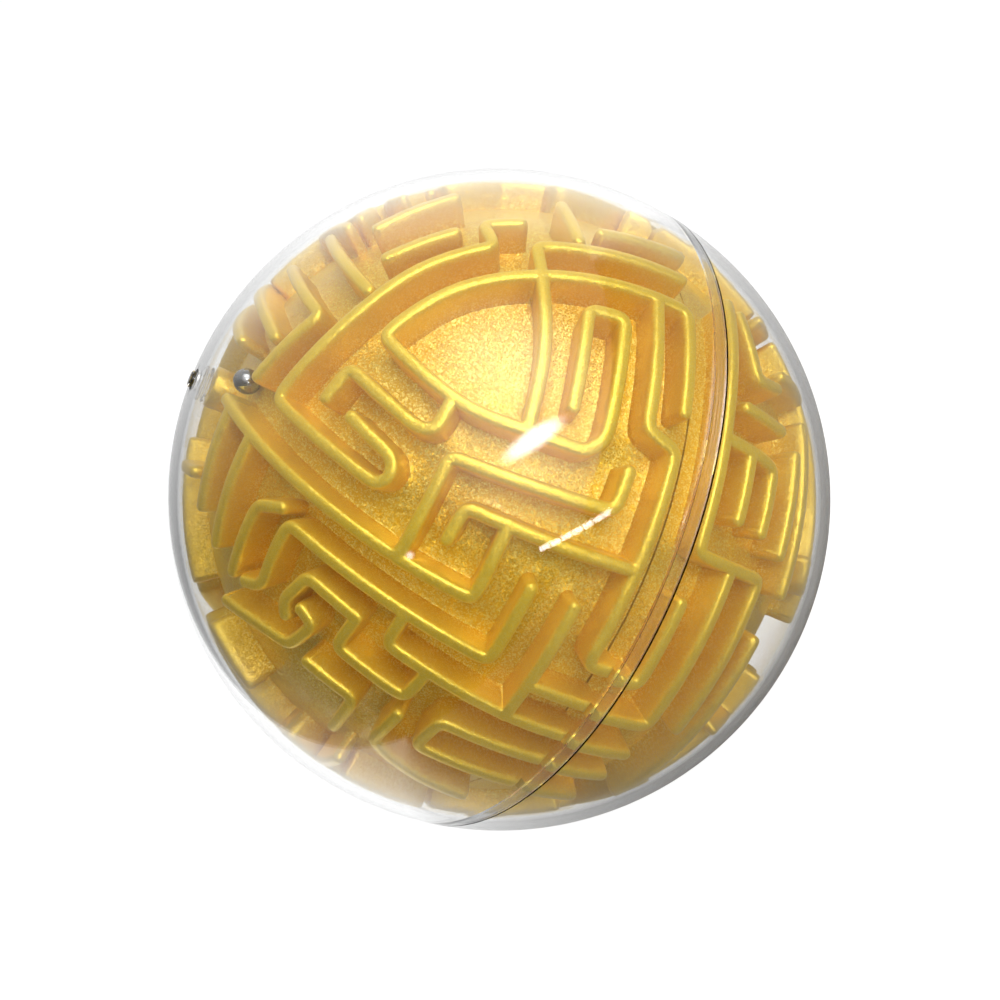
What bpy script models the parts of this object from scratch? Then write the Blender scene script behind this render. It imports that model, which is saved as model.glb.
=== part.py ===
"""Maze ball: a steel marble in a walled course on a hollow core, which turns on two
pins inside a clear two-part shell.  Metres, +Z up along the pin axis, origin at the
ball's centre, X, Y and Z along the three families of planes that the walls follow."""
import math

import bmesh
import bpy
from mathutils import Vector
from mathutils.geometry import delaunay_2d_cdt

# Driving dimensions
SHELL_RADIUS = 0.060
SHELL_WALL = 0.0015
TOP_GAP = 0.0005          # from the wall tops to the inside of the shell
WALL_HEIGHT = 0.0049
WALL_WIDTH = 0.0019
CORE_SKIN = 0.0020
FIT_GAP = 0.0003
PIN_RADIUS = 0.0015
COLLAR_RADIUS = 0.0030
COLLAR_LENGTH = 0.0012
COLLAR_RIBS = 2
GROOVE_DEPTH = 0.0005
NUB_HEIGHT = 0.0006
NUB_ROUNDING = 0.0002
TIP_LENGTH = 0.0006
TIP_RADIUS = 0.0009
BOSS_RADIUS = 0.0033
PIN_REACH = 0.0040        # how far the pin passes below the floor of the course
LAP_HEIGHT = 0.0018       # overlap of the two shell rims
MARBLE_RADIUS = 0.0020
MARBLE_OFFSET = 0.00702   # from the centre plane to the lane that holds the marble
MARBLE_TILT = 12.0        # degrees from the pin axis to the marble at rest
LOWER_TWIST = -1.1        # degrees by which the lower core half sits turned

MIRROR_LATITUDE = 34.0    # walls wholly above this are repeated below the parting plane
CAP_LATITUDE = 62.0       # walls that reach above this are not turned round the axis

# Resolution
SHELL_STEPS = 48
RING_DEGREES = 10.0
WALL_STEP_DEGREES = 8.0
EQUATOR_SIDES = 60
BORE_SIDES = 16
MITRE_LIMIT = 1.5
PLANE_LIMIT = 0.85        # planes further out than this cut too small a circle
CDT_EPSILON = 1e-5
MERGE_DISTANCE = 1e-6
RIM_SPLIT = 0.5           # chart radius between the bore and the parting plane
SHARP_DEGREES = 30.0
FILL_DEGREES = 9.0
FILL_CLEAR_DEGREES = 3.2
INNER_DEGREES = 15.0

SHELL_INNER = SHELL_RADIUS - SHELL_WALL
TOP_RADIUS = SHELL_INNER - TOP_GAP
FLOOR_RADIUS = TOP_RADIUS - WALL_HEIGHT
CORE_INNER = FLOOR_RADIUS - CORE_SKIN
BOSS_TOP = SHELL_INNER - FIT_GAP - COLLAR_LENGTH - FIT_GAP
BORE_RADIUS = PIN_RADIUS + FIT_GAP

# Walls of the course, each a run of (latitude, longitude) corners in degrees.
SPIRAL = [
    [(75.4, 16.1), (35, 4.9), (34, 23.6), (10.7, 24.2), (10.4, 29.9)],
    [(35, 4.9), (23.5, 4.9), (23.4, 17.1)],
    [(30.1, 11.4), (29.6, 17.1), (4.6, 17.7)],
]
RAIL = [
    [(-4.4, 16.7), (-4.4, 3.5), (4.8, 2.9), (4.6, 17.7), (4.3, 35.1), (9.4, 36.6), (9.6, 58.2)],
]
CHAMBER = [
    [(20.2, 36.3), (20.2, 52.7), (14.7, 52.7), (14.8, 33), (16.9, 30.6), (25.3, 31), (33.7, 31.1),
     (48.1, 43.4), (39.6, 54.4), (27.2, 58.2), (4.4, 58.1), (4.1, 41.1)],
    [(25.3, 31), (25.3, 43.9), (27.8, 64.9), (4.8, 65)],
    [(36.2, 31.9), (37, 26.7), (39.4, 26.3), (51.8, 35.4), (54.2, 27.4)],
    [(49.2, 24.7), (41.3, 20), (40.4, 16.7), (41.8, 14.3), (63, 23.9), (53.8, 48.4), (44.5, 60.8),
     (33.7, 64.7), (35.2, 71.4), (29.5, 71.5)],
    [(49.6, 66), (39.4, 69.9)],
    [(21.2, 67.6), (22.3, 78.4)],
    [(17.2, 70.8), (3.7, 71.7)],
]
WEST = [
    [(52.5, -24.8), (49.8, -20.2), (51.4, -2.5), (17.4, -2.4), (17.2, 10)],
    [(55.1, -27.4), (57.7, -5.3), (53.7, -1)],
    [(30.4, -2.8), (30.4, -8.9), (10.9, -9.4), (-11.3, -9.4)],
    [(10.9, -9.4), (10.6, 9.9)],
    [(10.8, -3.2), (-10.9, -3.1), (-11, 22.8)],
    [(-11, -15.1), (17.6, -16), (17.8, -23.2), (-10.2, -22.1)],
    [(35.7, -8.5), (35.8, -16), (23.8, -15.6), (23.5, -9.3)],
    [(35.7, -8.5), (44.8, -8.7), (45.9, -17.4), (44.3, -19.8)],
]
FAR_WEST = [
    [(52.5, -36.6), (47.2, -29.2), (41, -24.7), (40.1, -16.1), (42.9, -15.7)],
    [(37.4, -24.2), (29, -22.6), (27.8, -32.4)],
    [(22.8, -19.6), (22.7, -28.1), (5.3, -30.4)],
]
SOUTH = [
    [(-17.9, -3.1), (-18.1, 24.2), (-3.8, 24.3), (-3.5, 44.7), (-4.7, 66.4)],
    [(-3.8, 41.4), (-15, 41), (-15.1, 30.8)],
    [(-9.3, 41.3), (-9.4, 30.9)],
    [(-21.4, 46.1), (-21.8, 29.2)],
    [(-7.4, 47.8), (-16.1, 48.1)],
    [(-7.3, 65.3), (-9.8, 54), (-15.1, 55.4)],
    [(-21.5, -23.5), (-24, 14.5)],
    [(-24.5, 53.5), (-26.6, 23.6)],
    [(-17.6, 59.5), (-31, 66)],
    [(-18, 75), (-25, 80), (-27, 98)],
]
CAP = [
    [(65.3, 7.8), (60.6, -29.4)],
    [(73.2, 14.3), (67.5, -32.5)],
    [(69.2, 31), (59.5, 51.9), (66, 87.9)],
    [(67.9, 48.5), (72.5, 77.7), (66, 140)],
    [(52, 56.4), (58.4, 90.6)],
    [(50.8, 80.7), (38.1, 84.9)],
    [(77, 60), (68.6, 149.9), (70.4, 197.4), (68, 232)],
    [(76, 285), (74, 322)],
]
FENCE = [
    [(-47, 20), (-44, 49), (-36, 65), (-26, 77)],
    [(-20, 82), (-8, 89), (4, 94)],
    [(12, 98), (26, 105), (37, 110)],
    [(45, 113), (56, 121), (66, 132)],
    [(74, -118), (66, -92), (55, -80)],
    [(42, -72), (28, -66), (16, -61)],
    [(4, -56), (-9, -48), (-20, -40)],
    [(-30, -31), (-40, -16), (-46, 2)],
]


def unit(latitude, longitude):
    """Point of the unit sphere at a latitude and a longitude in degrees."""
    lat, lon = math.radians(latitude), math.radians(longitude)
    return Vector((math.cos(lat) * math.cos(lon), math.cos(lat) * math.sin(lon), math.sin(lat)))


def turned(wall, degrees):
    return [(lat, lon + degrees) for lat, lon in wall]


def mirrored(wall):
    return [(-lat, lon) for lat, lon in wall]


def course():
    """Every wall of both halves: one third of the way round, then two turned copies."""
    third = SPIRAL + RAIL + CHAMBER + WEST + SOUTH
    third += [mirrored(wall) for wall in CHAMBER + WEST + FAR_WEST if min(wall)[0] >= MIRROR_LATITUDE]
    walls = third + FAR_WEST + CAP + FENCE
    for degrees in (120, 240):
        walls += [turned(wall, degrees) for wall in third if max(wall)[0] < CAP_LATITUDE]
    walls += [turned(wall, 240) for wall in FAR_WEST]
    walls += [mirrored(turned(wall, 180)) for wall in CAP]
    return walls


def leg(start, end):
    """Points of a wall leg, along the lattice plane that holds it best."""
    wide = [k for k in range(3) if abs(start[k] + end[k]) < 2 * PLANE_LIMIT]
    axis = min(wide, key=lambda k: abs(start[k] - end[k]))
    u, v = (axis + 1) % 3, (axis + 2) % 3
    first = math.atan2(start[v], start[u])
    sweep = (math.atan2(end[v], end[u]) - first + math.pi) % (2 * math.pi) - math.pi
    count = max(1, math.ceil(math.degrees(start.angle(end)) / WALL_STEP_DEGREES))
    points = []
    for k in range(count):
        t = k / count
        point = Vector((0, 0, 0))
        point[axis] = start[axis] + t * (end[axis] - start[axis])
        reach = math.sqrt(1 - point[axis] ** 2)
        point[u] = reach * math.cos(first + t * sweep)
        point[v] = reach * math.sin(first + t * sweep)
        points.append(point)
    return points


def wall_line(wall):
    corners = [unit(lat, lon) for lat, lon in wall]
    points = []
    for start, end in zip(corners, corners[1:]):
        points += leg(start, end)
    return points + [corners[-1]]


def wall_sides(points):
    """Right and left edge points of a wall line, mitred at its corners."""
    half = WALL_WIDTH / 2 / TOP_RADIUS
    sides = []
    for k, point in enumerate(points):
        before = point - points[k - 1] if k else points[1] - point
        after = points[k + 1] - point if k < len(points) - 1 else before
        side_before = point.cross(before).normalized()
        side_after = point.cross(after).normalized()
        side = (side_before + side_after).normalized()
        side *= half / max(1 / MITRE_LIMIT, side.dot(side_after))
        sides.append(((point - side).normalized(), (point + side).normalized()))
    return sides


def wall_patches(points, sign):
    """The wall line as one chart outline for each short stretch of it."""
    sides = wall_sides(points)
    patches = []
    for k in range(len(points) - 1):
        patch = stretch(sides[k], sides[k + 1], sign)
        if not is_convex(patch):
            patch = stretch(*wall_sides(points[k:k + 2]), sign)
        patches.append(patch)
    return patches


def stretch(start, end, sign):
    corners = [start[0], end[0], end[1], start[1]]
    return [to_chart(corner, sign) for corner in corners[::sign]]


def is_convex(outline):
    count = len(outline)
    steps = [outline[(k + 1) % count] - outline[k] for k in range(count)]
    return all(steps[k - 1].x * steps[k].y > steps[k - 1].y * steps[k].x for k in range(count))


def to_chart(point, sign):
    """Stereographic chart of one hemisphere: the pole at 0, the equator at radius 1."""
    return Vector((point.x, point.y)) / (1 + sign * point.z)


def from_chart(place, sign):
    square = place.length_squared
    return Vector((2 * place.x, 2 * place.y, sign * (1 - square))) / (1 + square)


def chart_ring(radius, sides):
    return [Vector((radius * math.cos(2 * math.pi * k / sides),
                    radius * math.sin(2 * math.pi * k / sides))) for k in range(sides)]


def chart_radius(radius, sphere):
    """Chart radius of a circle round the pole, of a given radius on a given sphere."""
    return math.tan(math.asin(radius / sphere) / 2)


def fill_points(lines, sign, spacing, clear):
    """Points spread over the open floor, so that it stays round between the walls."""
    places = []
    rings = int(90 / spacing)
    for ring in range(1, rings):
        latitude = 90 - ring * spacing
        count = max(6, round(360 * math.cos(math.radians(latitude)) / spacing))
        for k in range(count):
            point = unit(sign * latitude, 360 * (k + ring % 2 / 2) / count)
            if all(point.angle(other) > clear for line in lines for other in line):
                places.append(to_chart(point, sign))
    return places


def triangulate(faces, loose):
    """Delaunay triangles over closed outlines, with the outlines that hold each one."""
    coords, outlines = [], []
    for face in faces:
        outlines.append(list(range(len(coords), len(coords) + len(face))))
        coords += face
    coords += loose
    places, _, tris, origins, _, holders = delaunay_2d_cdt(coords, [], outlines, 0, CDT_EPSILON)
    return list(places), [(list(tri), set(held)) for tri, held in zip(tris, holders)], origins


class CoreSkin:
    """Closed mesh of one core half, grown from its chart."""

    def __init__(self, sign):
        self.sign = sign
        self.mesh = bmesh.new()
        self.known = {}
        self.places = []
        self.equator = set()
        self.bore = set()

    def vertex(self, index, radius):
        key = (index, radius)
        if key not in self.known:
            place = self.places[index]
            if index in self.equator:
                flat = place.normalized() * radius
                spot = Vector((flat.x, flat.y, self.sign * FIT_GAP / 2))
            elif index in self.bore:
                flat = place.normalized() * BORE_RADIUS
                spot = Vector((flat.x, flat.y, self.sign * bore_height(radius)))
            else:
                spot = from_chart(place, self.sign) * radius
            self.known[key] = self.mesh.verts.new(spot)
        return self.known[key]

    def face(self, *corners):
        verts = [self.vertex(index, radius) for index, radius in corners]
        self.mesh.faces.new(verts if self.sign > 0 else verts[::-1])


def core_mesh(sign):
    """One half of the core: floor, walls, pole boss with its bore, and inner skin."""
    twist = 0 if sign > 0 else LOWER_TWIST
    lines = [wall_line(turned(wall, twist)) for wall in course()]
    lines = [line for line in lines if max(sign * point.z for point in line) > 0]
    bore_ring = chart_ring(chart_radius(BORE_RADIUS, FLOOR_RADIUS), BORE_SIDES)
    boss_ring = chart_ring(chart_radius(BOSS_RADIUS, FLOOR_RADIUS), BORE_SIDES)
    patches = [patch for line in lines for patch in wall_patches(line, sign)]
    faces = [chart_ring(1, EQUATOR_SIDES), bore_ring, boss_ring] + patches
    loose = fill_points(lines, sign, FILL_DEGREES, math.radians(FILL_CLEAR_DEGREES))

    skin = CoreSkin(sign)
    skin.places, triangles, _ = triangulate(faces, loose)
    kept = [(tri, level_of(held)) for tri, held in triangles if 0 in held and 1 not in held]
    sides = {}
    for tri, level in kept:
        for i, j in zip(tri, tri[1:] + tri[:1]):
            sides[(i, j)] = level
    rim = [(i, j) for i, j in sides if (j, i) not in sides]
    skin.equator = {i for i, j in rim if skin.places[i].length > RIM_SPLIT}
    skin.bore = {i for i, j in rim if skin.places[i].length < RIM_SPLIT}

    for tri, level in kept:
        skin.face(*[(i, level) for i in tri])
    for (i, j), level in sides.items():
        lower = sides.get((j, i), CORE_INNER if i in skin.bore else FLOOR_RADIUS)
        if level > lower:
            skin.face((j, level), (i, level), (i, lower), (j, lower))
    for i, j in rim:
        if i in skin.equator:
            skin.face((j, FLOOR_RADIUS), (i, FLOOR_RADIUS), (i, CORE_INNER), (j, CORE_INNER))
    add_inner_skin(skin, rim)
    return skin.mesh


def level_of(held):
    """Radius of a patch of the chart, from the outlines that hold it."""
    if 2 in held:
        return BOSS_TOP
    return TOP_RADIUS if held - {0} else FLOOR_RADIUS


def ordered(rim, members):
    """The rim's indices in order round one of its two circles."""
    following = {i: j for i, j in rim if i in members}
    chain = [next(iter(following))]
    while following[chain[-1]] != chain[0]:
        chain.append(following[chain[-1]])
    return chain


def add_inner_skin(skin, rim):
    """The hollow side of the half, which shares its rim and bore with the outer side."""
    outer = ordered(rim, skin.equator)
    bore = ordered(rim, skin.bore)[::-1]
    faces = [[skin.places[i].normalized() for i in outer], [skin.places[i] for i in bore]]
    loose = fill_points([], skin.sign, INNER_DEGREES, 0)
    places, triangles, origins = triangulate(faces, loose)
    shared = outer + bore
    index = []
    for place, origin in zip(places, origins):
        if origin and origin[0] < len(shared):
            index.append(shared[origin[0]])
        else:
            index.append(len(skin.places))
            skin.places.append(place)
    for tri, held in triangles:
        if 0 in held and 1 not in held:
            skin.face(*[(index[i], CORE_INNER) for i in tri[::-1]])


def clear_scene():
    for thing in list(bpy.data.objects):
        bpy.data.objects.remove(thing, do_unlink=True)


def material(name, colour, roughness, metallic=0.0, transmission=0.0):
    made = bpy.data.materials.new(name)
    made.use_nodes = True
    shader = made.node_tree.nodes["Principled BSDF"]
    shader.inputs["Base Color"].default_value = (*colour, 1)
    shader.inputs["Roughness"].default_value = roughness
    shader.inputs["Metallic"].default_value = metallic
    shader.inputs["Transmission Weight"].default_value = transmission
    return made


def add_object(name, mesh_source, finish, parent=None, smooth=False):
    mesh = bpy.data.meshes.new(name)
    mesh_source.to_mesh(mesh)
    mesh_source.free()
    mesh.materials.append(finish)
    if smooth:
        mesh.shade_smooth()
        mesh.set_sharp_from_angle(angle=math.radians(SHARP_DEGREES))
    made = bpy.data.objects.new(name, mesh)
    made.parent = parent
    bpy.context.scene.collection.objects.link(made)
    return made


def add_empty(name, location=(0, 0, 0)):
    made = bpy.data.objects.new(name, None)
    made.location = location
    bpy.context.scene.collection.objects.link(made)
    return made


def turned_solid(profile, steps):
    """A closed solid spun about Z from a profile of (radius, height) points."""
    mesh = bmesh.new()
    verts = [mesh.verts.new((radius, 0, height)) for radius, height in profile]
    closed = profile[0][0] > 0
    pairs = zip(verts, verts[1:] + verts[:1]) if closed else zip(verts, verts[1:])
    edges = [mesh.edges.new(pair) for pair in pairs]
    bmesh.ops.spin(mesh, geom=verts + edges, axis=(0, 0, 1), cent=(0, 0, 0),
                   steps=steps, angle=2 * math.pi, use_duplicate=False)
    bmesh.ops.remove_doubles(mesh, verts=mesh.verts, dist=MERGE_DISTANCE)
    bmesh.ops.recalc_face_normals(mesh, faces=mesh.faces)
    return mesh


def arc(radius, low_height, high_height):
    """Profile points up a sphere, from one height to another."""
    low = math.asin(low_height / radius)
    high = math.asin(high_height / radius)
    count = max(1, round(math.degrees(high - low) / RING_DEGREES))
    angles = [low + (high - low) * k / count for k in range(count + 1)]
    return [(radius * math.cos(angle), radius * math.sin(angle)) for angle in angles]


def bore_height(radius):
    """Height at which the pin's bore meets a sphere."""
    return math.sqrt(radius ** 2 - BORE_RADIUS ** 2)


def shell_profile(rim_low, step_height, lap_radius, outside_lip):
    """Half shell, pole up: its rim is thinned to one side of the lap radius."""
    outer_low, inner_low = (rim_low, step_height) if outside_lip else (step_height, rim_low)
    outer = arc(SHELL_RADIUS, outer_low, bore_height(SHELL_RADIUS))
    inner = arc(SHELL_INNER, inner_low, bore_height(SHELL_INNER))
    lap = [(math.sqrt(lap_radius ** 2 - inner_low ** 2), inner_low),
           (math.sqrt(lap_radius ** 2 - outer_low ** 2), outer_low)]
    return outer + inner[::-1] + lap


def flipped(profile):
    return [(radius, -height) for radius, height in profile]


def add_shell(clear):
    """Upper half with an outside lip, lower half with an inside lip that enters it."""
    half_lap = LAP_HEIGHT / 2
    middle = (SHELL_RADIUS + SHELL_INNER) / 2
    upper = shell_profile(-half_lap, half_lap, middle + FIT_GAP / 2, True)
    lower = shell_profile(-half_lap + FIT_GAP, half_lap + FIT_GAP, middle - FIT_GAP / 2, False)
    add_object("shell_half_upper", turned_solid(upper, SHELL_STEPS), clear, smooth=True)
    add_object("shell_half_lower", turned_solid(flipped(lower), SHELL_STEPS), clear, smooth=True)


def pin_profile():
    """Pivot pin, pole up, from its tip inside the core to the nub outside the shell."""
    tip = FLOOR_RADIUS - PIN_REACH
    collar_top = math.sqrt(SHELL_INNER ** 2 - COLLAR_RADIUS ** 2) - FIT_GAP
    collar_bottom = collar_top - COLLAR_LENGTH
    bands = 2 * COLLAR_RIBS - 1
    profile = [(0, tip), (TIP_RADIUS, tip), (PIN_RADIUS, tip + TIP_LENGTH)]
    profile.append((PIN_RADIUS, collar_bottom))
    for k in range(bands):
        radius = COLLAR_RADIUS - GROOVE_DEPTH * (k % 2)
        height = collar_bottom + k * COLLAR_LENGTH / bands
        profile += [(radius, height), (radius, height + COLLAR_LENGTH / bands)]
    top = SHELL_RADIUS + NUB_HEIGHT
    profile += [(PIN_RADIUS, collar_top), (PIN_RADIUS, top - NUB_ROUNDING)]
    profile += [(PIN_RADIUS - NUB_ROUNDING, top), (0, top)]
    return profile


def add_pins(clear):
    add_object("pivot_pin_upper", turned_solid(pin_profile(), BORE_SIDES), clear, smooth=True)
    lower = turned_solid(flipped(pin_profile()), BORE_SIDES)
    add_object("pivot_pin_lower", lower, clear, smooth=True)


def add_marble(chrome, parent):
    mesh = bmesh.new()
    bmesh.ops.create_icosphere(mesh, subdivisions=3, radius=MARBLE_RADIUS)
    marble = add_object("marble", mesh, chrome, parent, smooth=True)
    reach = math.sqrt((FLOOR_RADIUS + FIT_GAP / 2 + MARBLE_RADIUS) ** 2 - MARBLE_OFFSET ** 2)
    tilt = math.radians(MARBLE_TILT)
    marble.location = (reach * math.sin(tilt), MARBLE_OFFSET, reach * math.cos(tilt))


def main():
    clear_scene()
    clear = material("clear_plastic", (0.96, 0.97, 0.97), 0.03, transmission=1.0)
    gold = material("gold_plastic", (0.72, 0.45, 0.07), 0.35, metallic=0.35)
    chrome = material("polished_steel", (0.55, 0.56, 0.58), 0.12, metallic=1.0)
    core_axis = add_empty("core_axis")
    marble_axis = add_empty("marble_axis")
    marble_axis.parent = core_axis
    add_shell(clear)
    add_pins(clear)
    add_object("core_half_upper", core_mesh(1), gold, core_axis)
    add_object("core_half_lower", core_mesh(-1), gold, core_axis)
    add_marble(chrome, marble_axis)


main()
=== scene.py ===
"""Looks of the maze ball: a clear two-part shell, a gold pearl core with raised walls
that turns on two clear pins, and a steel marble.  Metres, +Z up along the pin axis."""
import math

import bpy
import numpy as np
from bpy.props import FloatProperty, FloatVectorProperty, IntProperty, PointerProperty
from mathutils import Matrix, Vector
from mathutils.geometry import delaunay_2d_cdt


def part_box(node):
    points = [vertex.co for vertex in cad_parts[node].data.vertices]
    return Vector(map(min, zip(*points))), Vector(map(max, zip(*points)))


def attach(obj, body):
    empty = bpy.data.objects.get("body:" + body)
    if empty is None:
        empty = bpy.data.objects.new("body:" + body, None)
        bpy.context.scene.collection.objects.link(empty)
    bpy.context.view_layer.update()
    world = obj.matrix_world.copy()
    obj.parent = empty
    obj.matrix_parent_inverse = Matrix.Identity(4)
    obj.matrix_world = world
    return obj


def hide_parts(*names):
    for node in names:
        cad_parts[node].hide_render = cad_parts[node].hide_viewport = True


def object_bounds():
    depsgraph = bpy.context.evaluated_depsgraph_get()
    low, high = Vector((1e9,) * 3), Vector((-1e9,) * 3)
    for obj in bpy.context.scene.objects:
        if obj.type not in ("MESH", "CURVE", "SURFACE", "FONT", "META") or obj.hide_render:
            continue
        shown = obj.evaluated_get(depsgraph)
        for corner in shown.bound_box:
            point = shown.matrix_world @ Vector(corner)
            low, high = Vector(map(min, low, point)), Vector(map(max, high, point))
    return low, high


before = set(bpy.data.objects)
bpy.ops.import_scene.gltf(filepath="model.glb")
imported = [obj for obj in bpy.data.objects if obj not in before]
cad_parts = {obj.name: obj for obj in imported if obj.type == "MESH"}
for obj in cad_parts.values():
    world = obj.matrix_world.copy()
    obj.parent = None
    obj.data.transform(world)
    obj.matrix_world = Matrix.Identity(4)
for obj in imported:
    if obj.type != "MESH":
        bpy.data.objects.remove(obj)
CAD_LOW, CAD_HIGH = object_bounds()

bl_info = {
    "name": "Maze Ball",
    "version": (1, 0, 0),
    "blender": (4, 5, 0),
    "location": "3D View > Sidebar > Maze Ball",
    "description": "Builds a clear maze ball with a walled gold core and a steel marble",
    "category": "Add Mesh",
}


def points_of(node):
    return np.array([vertex.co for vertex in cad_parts[node].data.vertices])


def reach_of(points):
    """Distance of each point from the ball's centre."""
    return np.linalg.norm(points, axis=1)


def axis_distance(points):
    return np.hypot(points[:, 0], points[:, 1])


# Sizes that the frame gives
MM = 0.001
SHELL_OUTER = reach_of(points_of("shell_half_upper")).max()
SHELL_INNER = reach_of(points_of("shell_half_upper")).min()
CORE_POINTS = points_of("core_half_upper")
TOP_RADIUS = reach_of(CORE_POINTS).max()
CORE_INNER = reach_of(CORE_POINTS).min()
BORE_RADIUS = axis_distance(CORE_POINTS).min()
BOSS_TOP = reach_of(CORE_POINTS[axis_distance(CORE_POINTS) < BORE_RADIUS + 0.1 * MM]).max()
MARBLE_LOW, MARBLE_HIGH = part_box("marble")
PIN_LOW, PIN_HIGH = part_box("pivot_pin_upper")

# Walls of the course, each a run of (latitude, longitude) corners in degrees.
SPIRAL = [
    [(75.4, 16.1), (35, 4.9), (34, 23.6), (10.7, 24.2), (10.4, 29.9)],
    [(35, 4.9), (23.5, 4.9), (23.4, 17.1)],
    [(30.1, 11.4), (29.6, 17.1), (4.6, 17.7)],
]
RAIL = [
    [(-4.4, 16.7), (-4.4, 3.5), (4.8, 2.9), (4.6, 17.7), (4.3, 35.1), (9.4, 36.6), (9.6, 58.2)],
]
CHAMBER = [
    [(20.2, 36.3), (20.2, 52.7), (14.7, 52.7), (14.8, 33), (16.9, 30.6), (25.3, 31), (33.7, 31.1),
     (48.1, 43.4), (39.6, 54.4), (27.2, 58.2), (4.4, 58.1), (4.1, 41.1)],
    [(25.3, 31), (25.3, 43.9), (27.8, 64.9), (4.8, 65)],
    [(36.2, 31.9), (37, 26.7), (39.4, 26.3), (51.8, 35.4), (54.2, 27.4)],
    [(49.2, 24.7), (41.3, 20), (40.4, 16.7), (41.8, 14.3), (63, 23.9), (53.8, 48.4), (44.5, 60.8),
     (33.7, 64.7), (35.2, 71.4), (29.5, 71.5)],
    [(49.6, 66), (39.4, 69.9)],
    [(21.2, 67.6), (22.3, 78.4)],
    [(17.2, 70.8), (3.7, 71.7)],
]
WEST = [
    [(52.5, -24.8), (49.8, -20.2), (51.4, -2.5), (17.4, -2.4), (17.2, 10)],
    [(55.1, -27.4), (57.7, -5.3), (53.7, -1)],
    [(30.4, -2.8), (30.4, -8.9), (10.9, -9.4), (-11.3, -9.4)],
    [(10.9, -9.4), (10.6, 9.9)],
    [(10.8, -3.2), (-10.9, -3.1), (-11, 22.8)],
    [(-11, -15.1), (17.6, -16), (17.8, -23.2), (-10.2, -22.1)],
    [(35.7, -8.5), (35.8, -16), (23.8, -15.6), (23.5, -9.3)],
    [(35.7, -8.5), (44.8, -8.7), (45.9, -17.4), (44.3, -19.8)],
]
FAR_WEST = [
    [(52.5, -36.6), (47.2, -29.2), (41, -24.7), (40.1, -16.1), (42.9, -15.7)],
    [(37.4, -24.2), (29, -22.6), (27.8, -32.4)],
    [(22.8, -19.6), (22.7, -28.1), (5.3, -30.4)],
]
SOUTH = [
    [(-17.9, -3.1), (-18.1, 24.2), (-3.8, 24.3), (-3.5, 44.7), (-4.7, 66.4)],
    [(-3.8, 41.4), (-15, 41), (-15.1, 30.8)],
    [(-9.3, 41.3), (-9.4, 30.9)],
    [(-21.4, 46.1), (-21.8, 29.2)],
    [(-7.4, 47.8), (-16.1, 48.1)],
    [(-7.3, 65.3), (-9.8, 54), (-15.1, 55.4)],
    [(-21.5, -23.5), (-24, 14.5)],
    [(-24.5, 53.5), (-26.6, 23.6)],
    [(-17.6, 59.5), (-31, 66)],
    [(-18, 75), (-25, 80), (-27, 98)],
]
CAP = [
    [(65.3, 7.8), (60.6, -29.4)],
    [(73.2, 14.3), (67.5, -32.5)],
    [(69.2, 31), (59.5, 51.9), (66, 87.9)],
    [(67.9, 48.5), (72.5, 77.7), (66, 140)],
    [(52, 56.4), (58.4, 90.6)],
    [(50.8, 80.7), (38.1, 84.9)],
    [(77, 60), (68.6, 149.9), (70.4, 197.4), (68, 232)],
    [(76, 285), (74, 322)],
]
FENCE = [
    [(-47, 20), (-44, 49), (-36, 65), (-26, 77)],
    [(-20, 82), (-8, 89), (4, 94)],
    [(12, 98), (26, 105), (37, 110)],
    [(45, 113), (56, 121), (66, 132)],
    [(74, -118), (66, -92), (55, -80)],
    [(42, -72), (28, -66), (16, -61)],
    [(4, -56), (-9, -48), (-20, -40)],
    [(-30, -31), (-40, -16), (-46, 2)],
]
MIRROR_LATITUDE = 34.0    # walls wholly above this are repeated below the parting plane
CAP_LATITUDE = 62.0       # walls that reach above this are not turned round the axis
PLANE_LIMIT = 0.85        # planes further out than this cut too small a circle

# Section across a wall: millimetres from its middle, and share of its full height
WALL_SECTION = [(0, 1), (0.45, 0.993), (0.75, 0.968), (0.93, 0.915), (1.04, 0.83), (1.09, 0.68),
                (1.12, 0.1), (1.2, 0.02), (1.4, 0)]
CORNER_PASSES = 9         # easing of the corners, which rounds them to about 1.5 mm
CURVE_PASSES = 150        # easing of the gentle bends, which makes one curve of them
GENTLE_DEGREES = 32.0
PINNED = 8                # stations on each side of a corner that the curves leave alone
BOSS_WALL = 1.5 * MM
EDGE_ROUND = 0.2 * MM

# Pivot pins
TIP_CHAMFER = 0.6 * MM
TIP_SHARE = 0.6           # of the pin's radius that its flat tip keeps
RIB_CROWN = 0.1 * MM
RIB_DEPTH = 0.55 * MM
HEAD_ROUND = 0.3 * MM

# Resolution
STATION = 0.5 * MM
BORDER_DEGREES = 2.0      # walls this far past the parting plane still count
END_SIDES = 18
RIM_SIDES = 400
BORE_SIDES = 48
FLOOR_SPACING = 2.2       # degrees between points of the open floor
INNER_SPACING = 6.0
KEEP_OFF = 0.25 * MM      # from the rim to the nearest free point
FLOOR_MARGIN = 0.7        # millimetres between a wall's foot and the points of the open floor
ROW_CELL = 0.16 * MM      # points of one row that share such a cell count as doubles
OFFSET_CELL = 0.01 * MM   # offsets that share such a step count as one row
ROW_SLACK = 0.015 * MM    # by which a row may lie nearer to a wall than its offset
CELL = 0.1                # of the unit sphere, within which points share their nearby walls
FAR = 9 * MM              # distance given to points with no wall near
ARC_DEGREES = 1.5
SMOOTH_DEGREES = 50.0
MARBLE_CUTS = 15


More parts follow.
